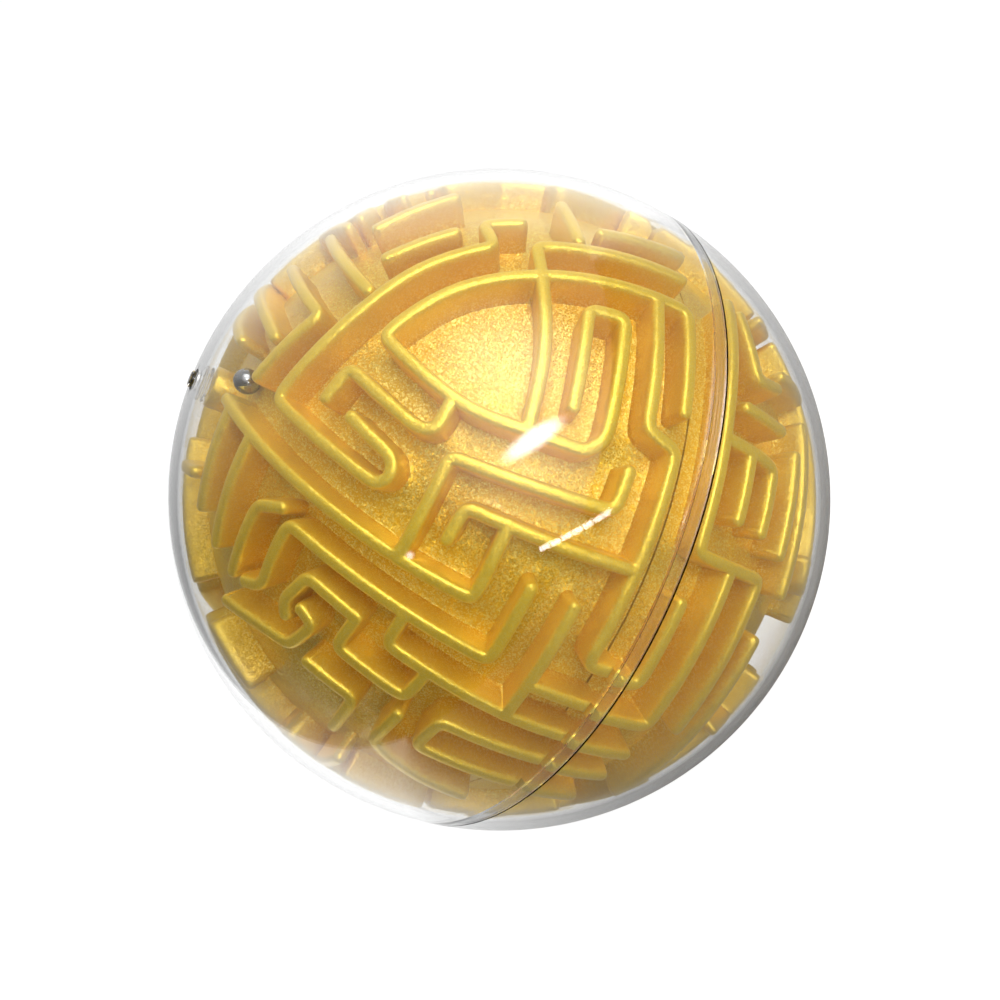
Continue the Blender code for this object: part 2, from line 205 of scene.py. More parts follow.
class MazeBallSizes(bpy.types.PropertyGroup):
    wall_height: FloatProperty(
        name="Wall height", description="From the floor of the course to the wall tops",
        default=0.0049, unit="LENGTH", precision=4)
    notch_depth: FloatProperty(
        name="Notch depth", description="Cut of the wall tops at the core's parting plane",
        default=0.0016, unit="LENGTH", precision=4)
    notch_reach: FloatProperty(
        name="Notch reach", description="Height over which the parting notch runs out",
        default=0.0012, unit="LENGTH", precision=4)
    lower_twist: FloatProperty(
        name="Lower twist", description="Turn of the lower core half about the pins",
        default=math.radians(-1.1), unit="ROTATION")
    lap_height: FloatProperty(
        name="Lap height", description="Overlap of the two shell rims",
        default=0.0018, unit="LENGTH", precision=4)
    fit_gap: FloatProperty(
        name="Fit gap", description="Clearance between neighbouring parts",
        default=0.0003, unit="LENGTH", precision=4)
    shell_steps: IntProperty(
        name="Shell steps", description="Faces round the shell", default=192, min=24)
    collar_ribs: IntProperty(
        name="Collar ribs", description="Ribs on each pivot pin's collar", default=2, min=1)


class MazeBallColours(bpy.types.PropertyGroup):
    gold: FloatVectorProperty(
        name="Gold", description="Colour of the pearl plastic on the walls",
        default=(0.94, 0.65, 0.045), subtype="COLOR", size=3, min=0, max=1)
    # Painted shade: the colour the channels take towards their floors, deeper and darker than the gold of
    # the wall tops, stands in for the shade between the walls
    channel_shade_gold: FloatVectorProperty(
        name="Deep gold", description="Colour of the pearl plastic in the channels",
        default=(0.86, 0.51, 0.008), subtype="COLOR", size=3, min=0, max=1)
    clear: FloatVectorProperty(
        name="Clear", description="Tint of the clear plastic",
        default=(0.985, 0.99, 0.99), subtype="COLOR", size=3, min=0, max=1)
    steel: FloatVectorProperty(
        name="Steel", description="Colour of the marble",
        default=(0.36, 0.36, 0.36), subtype="COLOR", size=3, min=0, max=1)
    stage: FloatVectorProperty(
        name="Stage", description="Colour of the floor",
        default=(0.35, 0.35, 0.35), subtype="COLOR", size=3, min=0, max=1)


# ---- Plan of the course

def unit(latitude, longitude):
    """Point of the unit sphere at a latitude and a longitude in degrees."""
    lat, lon = math.radians(latitude), math.radians(longitude)
    return Vector((math.cos(lat) * math.cos(lon), math.cos(lat) * math.sin(lon), math.sin(lat)))


def turned(wall, degrees):
    return [(lat, lon + degrees) for lat, lon in wall]


def mirrored(wall):
    return [(-lat, lon) for lat, lon in wall]


def course():
    """Every wall of both halves: one third of the way round, then two turned copies."""
    third = SPIRAL + RAIL + CHAMBER + WEST + SOUTH
    third += [mirrored(wall) for wall in CHAMBER + WEST + FAR_WEST if min(wall)[0] >= MIRROR_LATITUDE]
    walls = third + FAR_WEST + CAP + FENCE
    for degrees in (120, 240):
        walls += [turned(wall, degrees) for wall in third if max(wall)[0] < CAP_LATITUDE]
    walls += [turned(wall, 240) for wall in FAR_WEST]
    walls += [mirrored(turned(wall, 180)) for wall in CAP]
    return walls


def leg(start, end, step):
    """Points of a wall leg, along the lattice plane that holds it best."""
    wide = [k for k in range(3) if abs(start[k] + end[k]) < 2 * PLANE_LIMIT]
    axis = min(wide, key=lambda k: abs(start[k] - end[k]))
    u, v = (axis + 1) % 3, (axis + 2) % 3
    first = math.atan2(start[v], start[u])
    sweep = (math.atan2(end[v], end[u]) - first + math.pi) % (2 * math.pi) - math.pi
    count = max(1, math.ceil(start.angle(end) * TOP_RADIUS / step))
    points = []
    for k in range(count):
        t = k / count
        point = Vector((0, 0, 0))
        point[axis] = start[axis] + t * (end[axis] - start[axis])
        reach = math.sqrt(1 - point[axis] ** 2)
        point[u] = reach * math.cos(first + t * sweep)
        point[v] = reach * math.sin(first + t * sweep)
        points.append(point)
    return points


def wall_line(wall):
    """Close points along a wall, its corners rounded and its ends in place."""
    corners = [unit(lat, lon) for lat, lon in wall]
    points = []
    places = []
    for start, end in zip(corners, corners[1:]):
        places.append(len(points))
        points += leg(start, end, STATION)
    line = np.array(points + [corners[-1]])
    pinned = np.zeros(len(line), bool)
    pinned[[0, -1]] = True
    for k, place in enumerate(places[1:], 1):
        turn = (corners[k] - corners[k - 1]).angle(corners[k + 1] - corners[k])
        if turn > math.radians(GENTLE_DEGREES):
            pinned[max(place - PINNED, 0):place + PINNED + 1] = True
    for _ in range(CURVE_PASSES):
        line[1:-1] = np.where(pinned[1:-1, None], line[1:-1], mean_of_three(line))
    for _ in range(CORNER_PASSES):
        line[1:-1] = mean_of_three(line)
    return normalised(line)


def mean_of_three(line):
    """Each inner point moved halfway to the middle of its neighbours."""
    return (line[:-2] + 2 * line[1:-1] + line[2:]) / 4


def normalised(points):
    return points / np.linalg.norm(points, axis=1, keepdims=True)


# ---- Surface of the core

class CoreHalf:
    """The walls of one core half, the points that carry its surface, and their reach."""

    def __init__(self, sign, sizes):
        self.sign = sign
        self.sizes = sizes
        self.floor = TOP_RADIUS - sizes.wall_height
        twist = 0 if sign > 0 else math.degrees(sizes.lower_twist)
        self.walls = [turned(wall, twist) for wall in course()]
        self.walls = [wall for wall in self.walls if max(sign * lat for lat, _ in wall) > -BORDER_DEGREES]
        self.lines = [wall_line(wall) for wall in self.walls]
        self.starts = np.concatenate([line[:-1] for line in self.lines])
        self.runs = np.concatenate([line[1:] - line[:-1] for line in self.lines])

    def distance(self, points):
        """From each unit point to the nearest wall middle, measured at the wall tops."""
        nearest = np.full(len(points), FAR)
        cells, homes = np.unique(np.round(points / CELL), axis=0, return_inverse=True)
        near = CELL + FAR / 2 / TOP_RADIUS
        for number, cell in enumerate(cells * CELL):
            close = np.linalg.norm(self.starts - cell, axis=1) < near
            if close.any():
                members = np.nonzero(homes.ravel() == number)[0]
                nearest[members] = chord_distance(points[members], self.starts[close], self.runs[close])
        return nearest

    def reach(self, points):
        """Distance from the centre to the surface above each unit point."""
        sizes = self.sizes
        offsets, shares = zip(*WALL_SECTION)
        wall = np.interp(self.distance(points) / MM, offsets, shares) * sizes.wall_height
        above = np.abs(points[:, 2]) * TOP_RADIUS - sizes.fit_gap / 2
        slope = sizes.notch_depth / sizes.notch_reach
        limit = sizes.wall_height - sizes.notch_depth + np.maximum(above, 0) * slope
        boss_offsets, boss_reach = zip(*self.boss_section())
        boss = np.interp(axis_distance(points) * self.floor, boss_offsets, boss_reach)
        return np.maximum(self.floor + np.minimum(wall, limit), boss)

    def boss_section(self):
        """Reach of the round boss about the pin, by distance from the axis."""
        outside = BORE_RADIUS + BOSS_WALL
        return [(BORE_RADIUS, BOSS_TOP - EDGE_ROUND / 2), (BORE_RADIUS + EDGE_ROUND, BOSS_TOP),
                (outside - EDGE_ROUND, BOSS_TOP), (outside, BOSS_TOP - EDGE_ROUND),
                (outside + EDGE_ROUND / 2, self.floor + EDGE_ROUND),
                (outside + 2 * EDGE_ROUND, self.floor)]

    def free_points(self):
        """Unit points in rows along the walls, round their corners and on the floor."""
        rows = []
        for line in self.lines:
            for offset, _ in WALL_SECTION:
                rows.append((offset * MM, beside(line, offset * MM)))
                rows.append((offset * MM, around(line[[0, -1]], offset * MM)))
        points = np.concatenate([points for _, points in rows])
        offsets = np.concatenate([np.full(len(points), offset) for offset, points in rows])
        inside = self.sign * points[:, 2] * TOP_RADIUS > KEEP_OFF
        points, offsets = points[inside], offsets[inside]
        outermost = self.distance(points) > offsets - ROW_SLACK
        points, offsets = points[outermost], offsets[outermost]
        points = points[thinned(points, offsets)]
        floor = spread_points(self.sign, FLOOR_SPACING)
        open_floor = self.distance(floor) > (WALL_SECTION[-1][0] + FLOOR_MARGIN) * MM
        rings = [ring(self.sign, offset / self.floor) for offset, _ in self.boss_section()[1:]]
        points = np.concatenate([points, floor[open_floor]])
        points = points[axis_distance(points) * self.floor > self.boss_section()[-1][0] + EDGE_ROUND]
        return np.concatenate([points] + rings)

    def rim(self):
        """Unit points round the parting plane, closest where walls cross it."""
        regular = np.linspace(0, 2 * math.pi, RIM_SIDES, endpoint=False)
        circle = np.stack([np.cos(regular), np.sin(regular), 0 * regular], 1)
        angles = list(regular[self.distance(circle) > WALL_SECTION[-1][0] * MM])
        for line in self.lines:
            for k in np.nonzero(line[:-1, 2] * line[1:, 2] < 0)[0]:
                middle = math.atan2(line[k, 1] + line[k + 1, 1], line[k, 0] + line[k + 1, 0])
                for offset, _ in WALL_SECTION:
                    angles += [middle + offset * MM / TOP_RADIUS, middle - offset * MM / TOP_RADIUS]
        angles = np.unique(np.round(np.array(angles) % (2 * math.pi), 4))
        return np.stack([np.cos(angles), np.sin(angles), 0 * angles], 1)

    def mesh_parts(self):
        """Vertices and faces of the closed half: outer side, rim, bore and inner side."""
        rim = self.rim()
        bore = ring(self.sign, BORE_RADIUS / self.floor)
        free = self.free_points()
        outer = np.concatenate([rim, bore, free])
        reach = self.reach(outer)
        skin = Skin(self.sign, self.sizes.fit_gap / 2)
        outside = skin.sheet(rim, bore, free, reach)
        hollow = spread_points(self.sign, INNER_SPACING)
        hollow = hollow[axis_distance(hollow) > 2 * BORE_RADIUS / CORE_INNER]
        hollow = hollow[self.sign * hollow[:, 2] > math.sin(math.radians(INNER_SPACING / 2))]
        inside = skin.sheet(rim, bore, hollow, np.full(len(rim) + len(bore) + len(hollow), CORE_INNER),
                            inner=True)
        skin.bridge(outside, inside, 0, len(rim))
        skin.bridge(outside, inside, len(rim), len(bore), reverse=True)
        return skin.vertices, skin.faces


class Skin:
    """Vertices and faces of a closed half, gathered sheet by sheet."""

    def __init__(self, sign, rim_height):
        self.sign = sign
        self.rim_height = rim_height
        self.vertices = []
        self.faces = []

    def face(self, corners, flip=False):
        self.faces.append(corners[::-1] if flip != (self.sign < 0) else corners)

    def sheet(self, rim, bore, free, reach, inner=False):
        """One triangulated side; returns the index of its first vertex."""
        first = len(self.vertices)
        points = np.concatenate([rim, bore, free])
        chart = points[:, :2] / (1 + self.sign * points[:, 2:])
        places = points * reach[:, None]
        flat = len(rim)
        places[:flat, 2] = self.sign * self.rim_height
        bored = slice(flat, flat + len(bore))
        places[bored, :2] *= (BORE_RADIUS / axis_distance(places[bored]))[:, None]
        places[bored, 2] = self.sign * np.sqrt(reach[bored] ** 2 - BORE_RADIUS ** 2)
        self.vertices += places.tolist()
        found = delaunay_2d_cdt([Vector(place) for place in chart.tolist()], [], [], 0, 1e-7)
        origin = [sources[0] for sources in found[3]]
        for triangle in found[2]:
            corners = [origin[index] for index in triangle]
            if not all(flat <= index < flat + len(bore) for index in corners):
                self.face([first + index for index in corners], flip=inner)
        return first

    def bridge(self, outside, inside, start, count, reverse=False):
        """Strip between the two sides along one closed run of their vertices."""
        for k in range(count):
            i, j = start + k, start + (k + 1) % count
            self.face([outside + j, outside + i, inside + i, inside + j], flip=reverse)


def chord_distance(points, starts, runs):
    """Smallest distance from each unit point to a set of short runs of wall line."""
    square = (runs ** 2).sum(1)
    along = points @ runs.T - (starts * runs).sum(1)
    share = np.clip(along / square, 0, 1)
    from_start = 1 + (starts ** 2).sum(1) - 2 * points @ starts.T
    gap = from_start - 2 * share * along + share ** 2 * square
    return np.sqrt(np.maximum(gap.min(1), 0)) * TOP_RADIUS


def beside(line, offset):
    """Points on both sides of a wall line, at an offset from it at the wall tops."""
    steps = np.gradient(line, axis=0)
    sides = normalised(np.cross(line, steps)) * offset / TOP_RADIUS
    if offset == 0:
        return normalised(line)
    return normalised(np.concatenate([line + sides, line - sides]))


def around(ends, offset):
    """Points round each end of a wall line."""
    if offset == 0:
        return ends
    east = normalised(np.cross((0, 0, 1), ends))
    north = np.cross(ends, east)
    found = []
    for k in range(END_SIDES):
        angle = 2 * math.pi * k / END_SIDES
        found.append(ends + (east * math.cos(angle) + north * math.sin(angle)) * offset / TOP_RADIUS)
    return normalised(np.concatenate(found))


def thinned(points, offsets):
    """Indices of the points without near doubles of the same row."""
    cells = np.round(points * TOP_RADIUS / ROW_CELL)
    keys = np.concatenate([cells, np.round(offsets / OFFSET_CELL)[:, None]], 1)
    return np.sort(np.unique(keys, axis=0, return_index=True)[1])


def spread_points(sign, spacing):
    """Unit points in staggered rings over a half, a spacing in degrees apart."""
    found = []
    for number in range(1, int(90 / spacing)):
        latitude = 90 - number * spacing
        count = max(6, round(360 * math.cos(math.radians(latitude)) / spacing))
        found += [unit(sign * latitude, 360 * (k + number % 2 / 2) / count) for k in range(count)]
    return np.array(found)


def ring(sign, radius):
    """Unit points in a circle about the axis."""
    angles = np.linspace(0, 2 * math.pi, BORE_SIDES, endpoint=False)
    height = np.full(BORE_SIDES, sign * math.sqrt(1 - radius ** 2))
    return np.stack([radius * np.cos(angles), radius * np.sin(angles), height], 1)


# ---- Modelling steps that the pieces share

def deselect_all():
    for thing in bpy.context.selected_objects:
        thing.select_set(False)


def settle(piece, name, body, finish, replaced):
    """Names a finished piece, gives it its finish and hands it to the frame."""
    piece.name = name
    piece.data.name = name
    piece.data.materials.clear()
    piece.data.materials.append(finish)
    deselect_all()
    piece.select_set(True)
    bpy.context.view_layer.objects.active = piece
    bpy.ops.object.transform_apply(location=True, rotation=True, scale=True)
    bpy.ops.object.shade_smooth_by_angle(angle=math.radians(SMOOTH_DEGREES))
    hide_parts(*replaced)
    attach(piece, body)


def turned_piece(profile, steps):
    """A closed solid spun about Z from a loop of (radius, height) points."""
    deselect_all()
    bpy.ops.mesh.primitive_circle_add(vertices=len(profile), radius=SHELL_OUTER)
    piece = bpy.context.object
    for vertex, (radius, height) in zip(piece.data.vertices, profile):
        vertex.co = (radius, 0, height)
    bpy.ops.object.mode_set(mode="EDIT")
    bpy.ops.mesh.select_all(action="SELECT")
    bpy.ops.mesh.spin(steps=steps, angle=2 * math.pi, center=(0, 0, 0), axis=(0, 0, 1))
    bpy.ops.mesh.select_all(action="SELECT")
    bpy.ops.mesh.remove_doubles(threshold=1e-6)
    bpy.ops.mesh.delete_loose()
    bpy.ops.mesh.select_all(action="SELECT")
    bpy.ops.mesh.normals_make_consistent(inside=False)
    bpy.ops.object.mode_set(mode="OBJECT")
    return piece


def arc(radius, low_height, high_height):
    """Profile points up a sphere, from one height to another."""
    low = math.asin(low_height / radius)
    high = math.asin(high_height / radius)
    count = max(1, round(math.degrees(high - low) / ARC_DEGREES))
    angles = [low + (high - low) * k / count for k in range(count + 1)]
    return [(radius * math.cos(angle), radius * math.sin(angle)) for angle in angles]


def bore_height(radius):
    """Height at which the pin's bore meets a sphere."""
    return math.sqrt(radius ** 2 - BORE_RADIUS ** 2)


def shell_profile(rim_low, step_height, lap_radius, outside_lip):
    """Half shell, pole up: its rim is thinned to one side of the lap radius."""
    outer_low, inner_low = (rim_low, step_height) if outside_lip else (step_height, rim_low)
    outer = arc(SHELL_OUTER, outer_low, bore_height(SHELL_OUTER))
    inner = arc(SHELL_INNER, inner_low, bore_height(SHELL_INNER))
    lap = [(math.sqrt(lap_radius ** 2 - inner_low ** 2), inner_low),
           (math.sqrt(lap_radius ** 2 - outer_low ** 2), outer_low)]
    return outer + inner[::-1] + lap


def flipped(profile):
    return [(radius, -height) for radius, height in profile]


def pin_profile(sizes):
    """Pivot pin, pole up, from its tip inside the core to the nub outside the shell."""
    collar = PIN_HIGH.x
    pin = BORE_RADIUS - sizes.fit_gap
    collar_top = math.sqrt(SHELL_INNER ** 2 - collar ** 2) - sizes.fit_gap
    collar_bottom = BOSS_TOP + sizes.fit_gap
    bands = 2 * sizes.collar_ribs - 1
    band = (collar_top - collar_bottom) / bands
    profile = [(0, PIN_LOW.z), (TIP_SHARE * pin, PIN_LOW.z), (pin, PIN_LOW.z + TIP_CHAMFER)]
    profile.append((pin, collar_bottom))
    for k in range(bands):
        low = collar_bottom + k * band
        if k % 2:
            profile += [(collar - RIB_DEPTH, low), (collar - RIB_DEPTH, low + band)]
        else:
            profile += [(collar - RIB_CROWN, low), (collar, low + RIB_CROWN),
                        (collar, low + band - RIB_CROWN), (collar - RIB_CROWN, low + band)]
    profile += [(pin, collar_top), (pin, PIN_HIGH.z - HEAD_ROUND)]
    profile.append((pin - HEAD_ROUND / 3, PIN_HIGH.z - 0.4 * HEAD_ROUND))
    profile += [(pin - HEAD_ROUND, PIN_HIGH.z), (0, PIN_HIGH.z)]
    return profile


# ---- Finishes

def new_material(name):
    made = bpy.data.materials.new(name)
    made.use_nodes = True
    return made, made.node_tree, made.node_tree.nodes["Principled BSDF"]


def add_node(tree, kind, **settings):
    node = tree.nodes.new(kind)
    for key, value in settings.items():
        setattr(node, key, value)
    return node


def join(tree, source, target):
    tree.links.new(source, target)


def maths(tree, operation, *values, clamp=False):
    """A Math node whose inputs are sockets or numbers; returns its output."""
    node = add_node(tree, "ShaderNodeMath", operation=operation, use_clamp=clamp)
    for socket, value in zip(node.inputs, values):
        if isinstance(value, bpy.types.NodeSocket):
            join(tree, value, socket)
        else:
            socket.default_value = value
    return node.outputs[0]


def spread(tree, value, low, high, to_low=0.0, to_high=1.0):
    """A Map Range node; returns its output."""
    node = add_node(tree, "ShaderNodeMapRange")
    join(tree, value, node.inputs["Value"])
    for name, number in zip(("From Min", "From Max", "To Min", "To Max"), (low, high, to_low, to_high)):
        node.inputs[name].default_value = number
    return node.outputs["Result"]


def blend_colours(tree, factor, first, second):
    """A colour Mix node whose colours are sockets or values; returns its output."""
    node = add_node(tree, "ShaderNodeMix", data_type="RGBA")
    for socket, value in zip((node.inputs[0], node.inputs[6], node.inputs[7]), (factor, first, second)):
        if isinstance(value, bpy.types.NodeSocket):
            join(tree, value, socket)
        else:
            socket.default_value = value if isinstance(value, float) else (*value, 1)
    return node.outputs[2]


def noise(tree, place, scale, detail):
    node = add_node(tree, "ShaderNodeTexNoise")
    join(tree, place, node.inputs["Vector"])
    node.inputs["Scale"].default_value = scale
    node.inputs["Detail"].default_value = detail
    return node.outputs["Fac"]


def object_place(tree):
    return add_node(tree, "ShaderNodeTexCoord").outputs["Object"]


def bump(tree, height, strength, distance, normal=None):
    node = add_node(tree, "ShaderNodeBump")
    node.inputs["Strength"].default_value = strength
    node.inputs["Distance"].default_value = distance
    join(tree, height, node.inputs["Height"])
    if normal is not None:
        join(tree, normal, node.inputs["Normal"])
    return node.outputs["Normal"]


def flake_group():
    """Pearl flakes: a tilted normal for each flake, and how brightly it sparkles."""
    group = bpy.data.node_groups.new("pearl_flakes", "ShaderNodeTree")
    for name, default in (("Size", 0.0003), ("Tilt", 0.3)):
        socket = group.interface.new_socket(name, in_out="INPUT", socket_type="NodeSocketFloat")
        socket.default_value = default
    group.interface.new_socket("Normal", in_out="OUTPUT", socket_type="NodeSocketVector")
    group.interface.new_socket("Spark", in_out="OUTPUT", socket_type="NodeSocketFloat")
    entry = add_node(group, "NodeGroupInput")
    result = add_node(group, "NodeGroupOutput")
    cells = add_node(group, "ShaderNodeTexVoronoi")
    join(group, object_place(group), cells.inputs["Vector"])
    join(group, maths(group, "DIVIDE", 1.0, entry.outputs["Size"]), cells.inputs["Scale"])
    centred = add_node(group, "ShaderNodeVectorMath", operation="SUBTRACT")
    join(group, cells.outputs["Color"], centred.inputs[0])
    centred.inputs[1].default_value = (0.5, 0.5, 0.5)
    tilted = add_node(group, "ShaderNodeVectorMath", operation="SCALE")
    join(group, centred.outputs[0], tilted.inputs[0])
    join(group, entry.outputs["Tilt"], tilted.inputs["Scale"])
    summed = add_node(group, "ShaderNodeVectorMath", operation="ADD")
    join(group, add_node(group, "ShaderNodeNewGeometry").outputs["Normal"], summed.inputs[0])
    join(group, tilted.outputs[0], summed.inputs[1])
    straight = add_node(group, "ShaderNodeVectorMath", operation="NORMALIZE")
    join(group, summed.outputs[0], straight.inputs[0])
    join(group, straight.outputs[0], result.inputs["Normal"])
    parts = add_node(group, "ShaderNodeSeparateColor")
    join(group, cells.outputs["Color"], parts.inputs[0])
    join(group, spread(group, parts.outputs[0], 0.45, 1.0), result.inputs["Spark"])
    return group


def marks_group():
    """Handling marks: soft smears and fine hairlines for polished surfaces."""
    group = bpy.data.node_groups.new("handling_marks", "ShaderNodeTree")
    socket = group.interface.new_socket("Scale", in_out="INPUT", socket_type="NodeSocketFloat")
    socket.default_value = 60
    group.interface.new_socket("Smears", in_out="OUTPUT", socket_type="NodeSocketFloat")
    group.interface.new_socket("Hairlines", in_out="OUTPUT", socket_type="NodeSocketFloat")
    entry = add_node(group, "NodeGroupInput")
    result = add_node(group, "NodeGroupOutput")
    place = object_place(group)
    smears = add_node(group, "ShaderNodeTexNoise")
    join(group, place, smears.inputs["Vector"])
    join(group, entry.outputs["Scale"], smears.inputs["Scale"])
    join(group, spread(group, smears.outputs["Fac"], 0.5, 0.7), result.inputs["Smears"])
    lines = add_node(group, "ShaderNodeTexWave", wave_type="BANDS", bands_direction="DIAGONAL")
    join(group, place, lines.inputs["Vector"])
    join(group, maths(group, "MULTIPLY", entry.outputs["Scale"], 12.0), lines.inputs["Scale"])
    lines.inputs["Distortion"].default_value = 30
    lines.inputs["Detail"].default_value = 4
    fine = spread(group, lines.outputs["Fac"], 0.97, 1.0)
    join(group, maths(group, "MULTIPLY", fine, smears.outputs["Fac"]), result.inputs["Hairlines"])
    return group


def place_group(tree, group, **values):
    node = add_node(tree, "ShaderNodeGroup", node_tree=group)
    for name, value in values.items():
        node.inputs[name].default_value = value
    return node


FLAKE_SIZE = 0.19 * MM
SPARK_COLOUR = (1.0, 0.83, 0.20)
CLOUD_SCALE = 90
SWIRL_SCALE = 420
GRAIN_SCALE = 1800
CLEAR_MARKS = 25.0
STEEL_MARKS = 600.0


def gold_finish(sizes, colours):
    """Pearl gold plastic: grainy in the channels, smoother on the wall tops, with painted shade that
    deepens the colour towards the channel floors.
    """
    made, tree, shader = new_material("gold_pearl_plastic")
    place = object_place(tree)
    length = add_node(tree, "ShaderNodeVectorMath", operation="LENGTH")
    join(tree, place, length.inputs[0])
    floor = TOP_RADIUS - sizes.wall_height
    rise = spread(tree, length.outputs["Value"], floor, TOP_RADIUS)
    clouds = noise(tree, place, CLOUD_SCALE, detail=4)
    swirl = noise(tree, place, SWIRL_SCALE, detail=3)
    # Painted shade: the gold deepens from the wall tops down to the channel floors, with cloudy mottling
    # across it
    depth = maths(tree, "ADD", rise, spread(tree, clouds, 0.3, 0.7, -0.25, 0.25), clamp=True)
    base = blend_colours(tree, depth, tuple(colours.channel_shade_gold), tuple(colours.gold))
    flakes = place_group(tree, flake_group(), Size=FLAKE_SIZE)
    join(tree, spread(tree, rise, 0.0, 0.5, 0.5, 0.22), flakes.inputs["Tilt"])
    spark = maths(tree, "MULTIPLY", flakes.outputs["Spark"], spread(tree, rise, 0.0, 0.6, 0.9, 0.35))
    base = blend_colours(tree, spark, base, SPARK_COLOUR)
    join(tree, base, shader.inputs["Base Color"])
    rough = maths(tree, "ADD", spread(tree, rise, 0.0, 1.0, 0.44, 0.34),
                  spread(tree, swirl, 0.3, 0.7, -0.05, 0.05))
    join(tree, rough, shader.inputs["Roughness"])
    fine = noise(tree, place, GRAIN_SCALE, detail=2)
    grain = bump(tree, fine, 0.3, 0.06 * MM, flakes.outputs["Normal"])
    join(tree, grain, shader.inputs["Normal"])
    shader.inputs["Metallic"].default_value = 0.6
    shader.inputs["Coat Weight"].default_value = 0.25
    shader.inputs["Coat Roughness"].default_value = 0.2
    return made


def clear_finish(name, colour, marks, smear_roughness, ior):
    """Clear moulded plastic that lets lamps through to what is inside it."""
    made, tree, shader = new_material(name)
    shader.inputs["Base Color"].default_value = (*colour, 1)
    shader.inputs["Transmission Weight"].default_value = 1
    shader.inputs["IOR"].default_value = ior
    worn = place_group(tree, marks, Scale=CLEAR_MARKS)
    rough = maths(tree, "MULTIPLY", worn.outputs["Smears"], smear_roughness)
    join(tree, rough, shader.inputs["Roughness"])
    join(tree, bump(tree, worn.outputs["Hairlines"], 0.02, 0.02 * MM), shader.inputs["Normal"])
    through = add_node(tree, "ShaderNodeBsdfTransparent")
    mix = add_node(tree, "ShaderNodeMixShader")
    join(tree, add_node(tree, "ShaderNodeLightPath").outputs["Is Shadow Ray"], mix.inputs[0])
    join(tree, shader.outputs[0], mix.inputs[1])
    join(tree, through.outputs[0], mix.inputs[2])
    join(tree, mix.outputs[0], tree.nodes["Material Output"].inputs["Surface"])
    return made


def steel_finish(colour, marks):
    """Polished ball steel with faint smears."""
    made, tree, shader = new_material("polished_ball_steel")
    shader.inputs["Base Color"].default_value = (*colour, 1)
    shader.inputs["Metallic"].default_value = 1
    worn = place_group(tree, marks, Scale=STEEL_MARKS)
    join(tree, maths(tree, "ADD", maths(tree, "MULTIPLY", worn.outputs["Smears"], 0.12), 0.08),
         shader.inputs["Roughness"])
    join(tree, bump(tree, worn.outputs["Hairlines"], 0.05, 0.01 * MM), shader.inputs["Normal"])
    return made


def shared_marks():
    return bpy.data.node_groups.get("handling_marks") or marks_group()


# ---- Operators

class MAZEBALL_OT_core(bpy.types.Operator):
    """Model the two halves of the walled core"""
    bl_idname = "maze_ball.core"
    bl_label = "Walled Core"

    def execute(self, context):
        sizes = context.scene.maze_ball_sizes
        finish = gold_finish(sizes, context.scene.maze_ball_colours)
        for sign, name in ((1, "upper"), (-1, "lower")):
            vertices, faces = CoreHalf(sign, sizes).mesh_parts()
            deselect_all()
            bpy.ops.mesh.primitive_plane_add()
            piece = context.object
            piece.data.clear_geometry()
            piece.data.from_pydata(vertices, [], faces)
            settle(piece, f"core_{name}", "core", finish, [f"core_half_{name}"])
        return {"FINISHED"}


class MAZEBALL_OT_shell(bpy.types.Operator):
    """Model the two halves of the clear shell with their lapped rims"""
    bl_idname = "maze_ball.shell"
    bl_label = "Clear Shell"

    def execute(self, context):
        sizes = context.scene.maze_ball_sizes
        clear = context.scene.maze_ball_colours.clear
        finish = clear_finish("clear_shell_plastic", clear, shared_marks(), smear_roughness=0.012, ior=1.5)
        half_lap = sizes.lap_height / 2
        middle = (SHELL_OUTER + SHELL_INNER) / 2
        gap = sizes.fit_gap
        upper = shell_profile(-half_lap, half_lap, middle + gap / 2, True)
        lower = shell_profile(-half_lap + gap, half_lap + gap, middle - gap / 2, False)
        piece = turned_piece(upper, sizes.shell_steps)
        settle(piece, "shell_upper", "shell", finish, ["shell_half_upper"])
        piece = turned_piece(flipped(lower), sizes.shell_steps)
        settle(piece, "shell_lower", "shell", finish, ["shell_half_lower"])
        return {"FINISHED"}


class MAZEBALL_OT_pins(bpy.types.Operator):
    """Model the two clear pivot pins with their ribbed collars"""
    bl_idname = "maze_ball.pins"
    bl_label = "Pivot Pins"

    def execute(self, context):
        sizes = context.scene.maze_ball_sizes
        clear = context.scene.maze_ball_colours.clear
        finish = clear_finish("clear_pin_plastic", clear, shared_marks(), smear_roughness=0.03, ior=1.49)
        profile = pin_profile(sizes)
        for name, outline in (("upper", profile), ("lower", flipped(profile))):
            piece = turned_piece(outline, BORE_SIDES)
            settle(piece, f"pin_{name}", "shell", finish, [f"pivot_pin_{name}"])
        return {"FINISHED"}


class MAZEBALL_OT_marble(bpy.types.Operator):
    """Model the steel marble"""
    bl_idname = "maze_ball.marble"
    bl_label = "Steel Marble"

    def execute(self, context):
        finish = steel_finish(context.scene.maze_ball_colours.steel, shared_marks())
        centre = (MARBLE_LOW + MARBLE_HIGH) / 2
        radius = (MARBLE_HIGH.z - MARBLE_LOW.z) / 2
        deselect_all()
        bpy.ops.mesh.primitive_cube_add(size=2 * radius, location=centre)
        piece = context.object
        bpy.ops.object.mode_set(mode="EDIT")
        bpy.ops.mesh.select_all(action="SELECT")
        bpy.ops.mesh.subdivide(number_cuts=MARBLE_CUTS)
        bpy.ops.object.mode_set(mode="OBJECT")
        for vertex in piece.data.vertices:
            vertex.co = vertex.co.normalized() * radius
        settle(piece, "steel_marble", "marble", finish, ["marble"])
        return {"FINISHED"}


# ---- Stage

